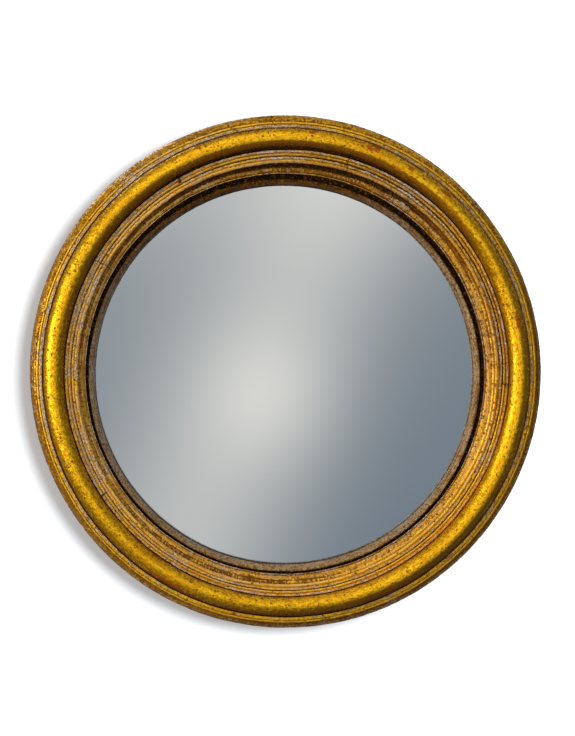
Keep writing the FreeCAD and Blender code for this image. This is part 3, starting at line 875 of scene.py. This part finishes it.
def makeFeltTape():
    s = softRings
    bm = bmesh.new()
    lift, thick = s["feltLift"], s["feltThickness"]
    middle = (s["feltInner"] + s["feltOuter"]) / 2
    first = startSection(bm, s["feltInner"], glassHeight(s["feltInner"]) + lift)
    vert = arcTo(bm, first, s["feltInner"], glassHeight(s["feltInner"]) + thick, 0.1, 4)
    vert = lineTo(bm, vert, middle, glassHeight(middle) + lift + thick)
    vert = lineTo(bm, vert, s["feltOuter"], glassHeight(s["feltOuter"]) + thick)
    vert = lineTo(bm, vert, s["feltOuter"], glassHeight(s["feltOuter"]) + lift, 2)
    vert = lineTo(bm, vert, s["feltInner"], glassHeight(s["feltInner"]) + lift, 3)
    closeSection(bm, vert, first)
    spinSection(bm, s["steps"])
    piece = newPiece("feltTape", bm)
    dress(piece, plain["felt"])
    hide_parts("glazing_tape")
    return piece


# plain finishes of the back

plainFinishes = {
    "felt": {"light": (0.045, 0.055, 0.045, 1), "dark": (0.020, 0.026, 0.020, 1), "size": 1.2,
             "metallic": 0.0, "rough": (0.9, 1.0), "relief": 0.30, "sheen": 0.5},
    "cork": {"light": (0.46, 0.27, 0.13, 1), "dark": (0.16, 0.075, 0.03, 1), "size": 1.6,
             "metallic": 0.0, "rough": (0.75, 0.9), "relief": 0.35, "sheen": 0.0},
    "foam": {"light": (0.30, 0.30, 0.31, 1), "dark": (0.13, 0.13, 0.14, 1), "size": 0.6,
             "metallic": 0.0, "rough": (0.85, 1.0), "relief": 0.40, "sheen": 0.2},
    "hardboard": {"light": (0.23, 0.125, 0.060, 1), "dark": (0.12, 0.060, 0.028, 1), "size": 3.0,
                  "metallic": 0.0, "rough": (0.55, 0.75), "relief": 0.18, "sheen": 0.0},
    "platedSteel": {"light": (0.62, 0.61, 0.56, 1), "dark": (0.40, 0.38, 0.32, 1), "size": 5.0,
                    "metallic": 1.0, "rough": (0.26, 0.46), "relief": 0.06, "sheen": 0.0},
    "screwSteel": {"light": (0.56, 0.52, 0.42, 1), "dark": (0.30, 0.26, 0.18, 1), "size": 1.6,
                   "metallic": 1.0, "rough": (0.26, 0.5), "relief": 0.05, "sheen": 0.0},
    "padRubber": {"light": (0.055, 0.052, 0.050, 1), "dark": (0.026, 0.025, 0.025, 1), "size": 4.0,
                  "metallic": 0.0, "rough": (0.55, 0.8), "relief": 0.10, "sheen": 0.0},
}


def makePlain(name):
    look = plainFinishes[name]
    material, tree = newMaterial(name)
    point = pointInMm(tree)
    cloud = useGroup(tree, smudges, {"Point": point, "Size": look["size"], "Seed": 1.0})["Value"]
    broad = useGroup(tree, smudges, {"Point": point, "Size": look["size"] * 9, "Seed": 5.0})["Value"]
    share = ramp(tree, maths(tree, "MULTIPLY_ADD", broad, 0.6, maths(tree, "MULTIPLY", cloud, 0.6)), 0.4, 0.8)
    colour = blendColour(tree, share, look["dark"], look["light"])
    bits = useGroup(tree, specks, {"Point": point, "Spacing": look["size"] * 1.3, "Size": 0.45,
                                   "Amount": 0.3, "Seed": 2.0})["Mask"]
    colour = blendColour(tree, maths(tree, "MULTIPLY", bits, 0.45), colour, look["dark"])
    rough = blendValue(tree, cloud, look["rough"][0], look["rough"][1])
    bump = put(tree, "Bump", {"Height": cloud, "Strength": 0.6, "Distance": look["relief"] * mm}).outputs[0]
    finishMaterial(tree, {"Base Color": colour, "Metallic": look["metallic"], "Roughness": rough,
                          "Normal": bump, "Sheen Weight": look["sheen"]})
    return material


plain = {name: makePlain(name) for name in plainFinishes}

nodeFinishes = {
    "edge_packers": "cork", "back_board": "hardboard", "button_screws": "screwSteel", "hanger_screws": "screwSteel",
    "hanger_plate": "platedSteel", "hanger_ring": "platedSteel",
    **{"turn_button_%d" % n: "platedSteel" for n in range(1, 7)},
    **{"wall_pad_%d" % n: "padRubber" for n in range(1, 5)},
}
for node, finish in nodeFinishes.items():
    dress(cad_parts[node], plain[finish])
makeFoamRing()
makeFeltTape()
print("back finished")


# wall, room, lamps and camera

room = {
    "shade": (0.207, 0.243, 0.278), "glow": (1.08, 0.992, 0.846),
    "coreCentre": (0.028, 0.0, -0.056), "coreSpread": 0.145, "coreStrength": 0.169,
    "bandAcross": (-0.924, 0.0, 0.383), "bandSpread": 0.202, "bandStrength": 0.27,
    "sideAway": 0.30, "sideSpread": 0.22, "sideStrength": 0.040,
    "topAway": -0.62, "topSpread": 0.16, "topStrength": 0.12,
    "tilt": (-0.028, 0.0, 0.0545), "fill": (0.36, 0.36, 0.36),
}


def makeSoftGlow():
    # a glow that falls off with the square of Reach
    group, give, take = newGroup("softGlow", [("Reach", "Float", 0.0), ("Spread", "Float", 0.2),
                                              ("Strength", "Float", 0.2)], [("Value", "Float")])
    share = maths(group, "DIVIDE", give["Reach"], give["Spread"])
    fall = maths(group, "EXPONENT", maths(group, "MULTIPLY", maths(group, "MULTIPLY", share, share), -0.5))
    group.links.new(maths(group, "MULTIPLY", fall, give["Strength"]), take["Value"])
    return group


def makeRoom():
    # what the mirror sees in front is a dim room with a pale window glow, and the wall behind is white
    world = bpy.data.worlds.new("room")
    bpy.context.scene.world = world
    world.use_nodes = True
    tree = world.node_tree
    tree.nodes.clear()
    softGlow = makeSoftGlow()
    way = put(tree, "TexCoord").outputs["Generated"]
    xyz = put(tree, "SeparateXYZ", {0: way}).outputs

    def along(axis):
        return put(tree, "VectorMath", {0: way, 1: axis}, operation="DOT_PRODUCT").outputs["Value"]

    flat = put(tree, "CombineXYZ", {"X": xyz["X"], "Z": xyz["Z"]}).outputs[0]
    fromCore = put(tree, "VectorMath", {0: flat, 1: room["coreCentre"]}, operation="DISTANCE").outputs["Value"]
    fromSide = maths(tree, "ADD", xyz["X"], room["sideAway"])
    fromTop = maths(tree, "ADD", xyz["Z"], room["topAway"])
    glow = along(room["tilt"])
    fromBand = along(room["bandAcross"])
    for part, reach in (("core", fromCore), ("band", fromBand), ("side", fromSide), ("top", fromTop)):
        one = useGroup(tree, softGlow, {"Reach": reach, "Spread": room[part + "Spread"],
                                        "Strength": room[part + "Strength"]})["Value"]
        glow = maths(tree, "ADD", glow, one)
    warm = put(tree, "VectorMath", {0: room["glow"], "Scale": glow}, operation="SCALE").outputs[0]
    ahead = put(tree, "VectorMath", {0: room["shade"], 1: warm}, operation="ADD").outputs[0]
    toWall = ramp(tree, xyz["Y"], 0.5, 0.9)
    seen = blendColour(tree, toWall, ahead, (1, 1, 1, 1))
    light = put(tree, "LightPath").outputs
    shiny = maths(tree, "MAXIMUM", light["Is Glossy Ray"], light["Is Transmission Ray"])
    colour = blendColour(tree, shiny, (*room["fill"], 1), seen)
    colour = blendColour(tree, light["Is Camera Ray"], colour, (1, 1, 1, 1))
    background = put(tree, "Background", {"Color": colour, "Strength": 1.0})
    output = put(tree, "OutputWorld")
    tree.links.new(background.outputs[0], output.inputs["Surface"])


makeRoom()

wall = {"size": 1.5, "behind": 0.0006, "colour": (0.766, 0.806, 0.848, 1), "ownLight": 0.25}


def makeWall():
    # white paper wall that keeps the shadow, seen from its front only
    bm = bmesh.new()
    bmesh.ops.create_grid(bm, x_segments=4, y_segments=4, size=wall["size"] / 2,
                          matrix=Matrix.Rotation(math.radians(90), 4, "X"))
    bmesh.ops.translate(bm, verts=bm.verts[:], vec=(0, wall["behind"], 0))
    mesh = bpy.data.meshes.new("wall")
    bm.to_mesh(mesh)
    bm.free()
    piece = bpy.data.objects.new("wall", mesh)
    bpy.context.scene.collection.objects.link(piece)
    material, tree = newMaterial("wallWhite")
    paper = put(tree, "BsdfDiffuse", {"Color": wall["colour"]}).outputs[0]
    own = put(tree, "Emission", {"Color": (1, 1, 1, 1), "Strength": wall["ownLight"]}).outputs[0]
    front = put(tree, "AddShader", {0: paper, 1: own}).outputs[0]
    clear = put(tree, "BsdfTransparent").outputs[0]
    fromBehind = put(tree, "NewGeometry").outputs["Backfacing"]
    shown = put(tree, "MixShader", {0: fromBehind, 1: front, 2: clear}).outputs[0]
    output = put(tree, "OutputMaterial")
    tree.links.new(shown, output.inputs["Surface"])
    dress(piece, material)
    piece.visible_diffuse = False
    piece.visible_glossy = False
    piece.visible_transmission = False
    piece.visible_shadow = False
    piece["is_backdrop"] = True
    return piece


wallPiece = makeWall()

lampPlan = {
    "key": {"left": 60, "up": 5, "away": 1.7, "size": 0.9, "power": 16.5, "colour": (1.0, 0.97, 0.92)},
    "top": {"left": 15, "up": 55, "away": 1.6, "size": 0.7, "power": 3.0, "colour": (1.0, 0.98, 0.95)},
    "front": {"left": 14, "up": 13, "away": 2.2, "size": 2.4, "power": 13.5, "colour": (1.0, 1.0, 1.0)},
    "back": {"left": 150, "up": 40, "away": 2.0, "size": 0.9, "power": 8.0, "colour": (1.0, 1.0, 1.0)},
    "wallShadow": {"left": -20, "up": 8, "away": 2.2, "size": 1.25, "power": 64.0, "colour": (1.0, 1.0, 1.0)},
}


def makeLamp(name, receivers=None):
    plan = lampPlan[name]
    left, up = math.radians(plan["left"]), math.radians(plan["up"])
    way = Vector((-math.sin(left) * math.cos(up), -math.cos(left) * math.cos(up), math.sin(up)))
    data = bpy.data.lights.new(name, "AREA")
    data.shape = "DISK"
    data.size = plan["size"]
    data.energy = plan["power"]
    data.color = plan["colour"]
    lamp = bpy.data.objects.new(name, data)
    bpy.context.scene.collection.objects.link(lamp)
    lamp.location = way * plan["away"]
    lamp.rotation_euler = way.to_track_quat("Z", "Y").to_euler()
    lamp.visible_camera = False
    if receivers:
        lamp.light_linking.receiver_collection = receivers
    return lamp


wallOnly = bpy.data.collections.new("wallOnly")
wallOnly.objects.link(wallPiece)
objectOnly = bpy.data.collections.new("objectOnly")
allButGlass = bpy.data.collections.new("allButGlass")
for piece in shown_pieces():
    objectOnly.objects.link(piece)
    if piece != convexGlass:
        allButGlass.objects.link(piece)
for lampName in ("top", "back"):
    makeLamp(lampName, objectOnly)
for lampName in ("key", "front"):
    makeLamp(lampName, allButGlass)
makeLamp("wallShadow", wallOnly)

view = {
    "fromLeft": 5.0, "fromBelow": 1.3, "away": 4.5, "mmPerPixel": 0.77894,
    "imageWidth": 575, "imageHeight": 736, "centreX": 286.27, "centreY": 371.32, "frontPlane": -0.022,
    "sensorWidth": 36,
}


def makeCamera():
    left, below = math.radians(view["fromLeft"]), math.radians(view["fromBelow"])
    way = Vector((-math.sin(left) * math.cos(below), -math.cos(left) * math.cos(below), -math.sin(below)))
    data = bpy.data.cameras.new("camera")
    data.sensor_fit = "HORIZONTAL"
    data.sensor_width = view["sensorWidth"]
    data.lens = view["away"] * view["sensorWidth"] / (view["imageWidth"] * view["mmPerPixel"] * mm)
    data.clip_end = 100
    camera = bpy.data.objects.new("camera", data)
    bpy.context.scene.collection.objects.link(camera)
    camera.rotation_euler = way.to_track_quat("Z", "Y").to_euler()
    turn = camera.rotation_euler.to_matrix()
    right = (view["imageWidth"] / 2 - view["centreX"]) * view["mmPerPixel"] * mm
    up = (view["centreY"] - view["imageHeight"] / 2) * view["mmPerPixel"] * mm
    target = Vector((0, view["frontPlane"], 0)) + turn @ Vector((right, up, 0))
    camera.location = target + way * view["away"]
    bpy.context.scene.camera = camera


makeCamera()
bpy.context.scene.view_settings.view_transform = "Standard"
print("stage set")
